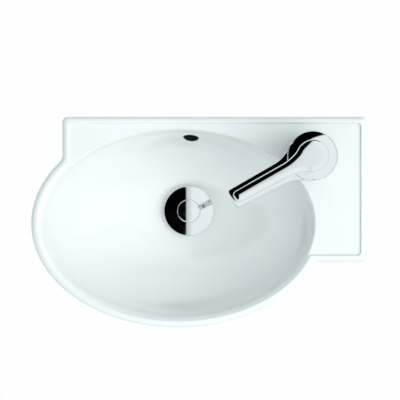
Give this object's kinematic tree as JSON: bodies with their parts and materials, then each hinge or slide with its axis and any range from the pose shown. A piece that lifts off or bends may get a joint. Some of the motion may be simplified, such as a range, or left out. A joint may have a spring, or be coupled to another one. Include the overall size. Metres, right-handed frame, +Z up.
{
  "type": "wall-hung wash basin",
  "caption": "Small wall-hung basin of white glazed china with an oval bowl, tap ledge, overflow, chrome single-lever mixer and click waste with a domed cover.",
  "frame": {"origin": "on the wall face, midway between the two fixing holes", "axes": "+X to the right along the wall, +Y into the wall, +Z up"},
  "size_m": [0.4, 0.251, 0.2836],
  "materials": {
    "china": "gloss glaze",
    "chrome": "polished",
    "rubber": "matt",
    "brass": "machined",
    "steel": "satin",
    "plastic": "matt",
    "disc_ceramic": "lapped"
  },
  "bodies": {
    "fixed": {"aerator_insert": "plastic", "aerator_seal": "rubber", "aerator_sleeve": "chrome", "back_nut": "brass", "base_gasket": "rubber", "basin": "china", "cartridge_housing": "plastic", "cartridge_nut": "brass", "clamp_gasket": "rubber", "clamp_washer": "steel", "click_cartridge": "brass", "disc_seal": "rubber", "dome_cap": "chrome", "fixed_disc": "disc_ceramic", "flange_seal": "rubber", "mounting_stud": "steel", "port_seal": "rubber", "slip_washer": "steel", "stud_nut": "brass", "tail_seal": "rubber", "tap_body": "chrome", "waste_body": "chrome"},
    "plug": {"plug_cap": "chrome", "plug_centre_disc": "chrome", "plug_stem": "steel", "plug_seal": "rubber"},
    "turret": {"cartridge_turret": "plastic", "stem_pin": "steel"},
    "lever": {"lever": "chrome", "lever_screw": "steel", "cartridge_stem": "brass"},
    "slider": {"disc_carrier": "plastic", "moving_disc": "disc_ceramic"}
  },
  "joints": [
    {"name": "plug_slide", "type": "slide", "parent": "fixed", "child": "plug", "axis": [0, 0, 1], "range_m": [0, 0.009]},
    {"name": "lever_turn", "type": "hinge", "parent": "fixed", "child": "turret", "pos_m": [0.1123, -0.0483, 0.1085], "axis": [0, 0, 1], "range_deg": [-45, 45]},
    {"name": "lever_lift", "type": "hinge", "parent": "turret", "child": "lever", "pos_m": [0.1123, -0.0483, 0.1085], "axis": [-0.4772, 0.8788, 0], "range_deg": [0, 25]},
    {"name": "disc_slide", "type": "slide", "parent": "turret", "child": "slider", "axis": [-0.8788, -0.4772, 0], "range_m": [0, 0.0048]}
  ],
  "couplings": [
    {"joint": "disc_slide", "follows": "lever_lift", "m_per_rad": 0.010914}
  ]
}
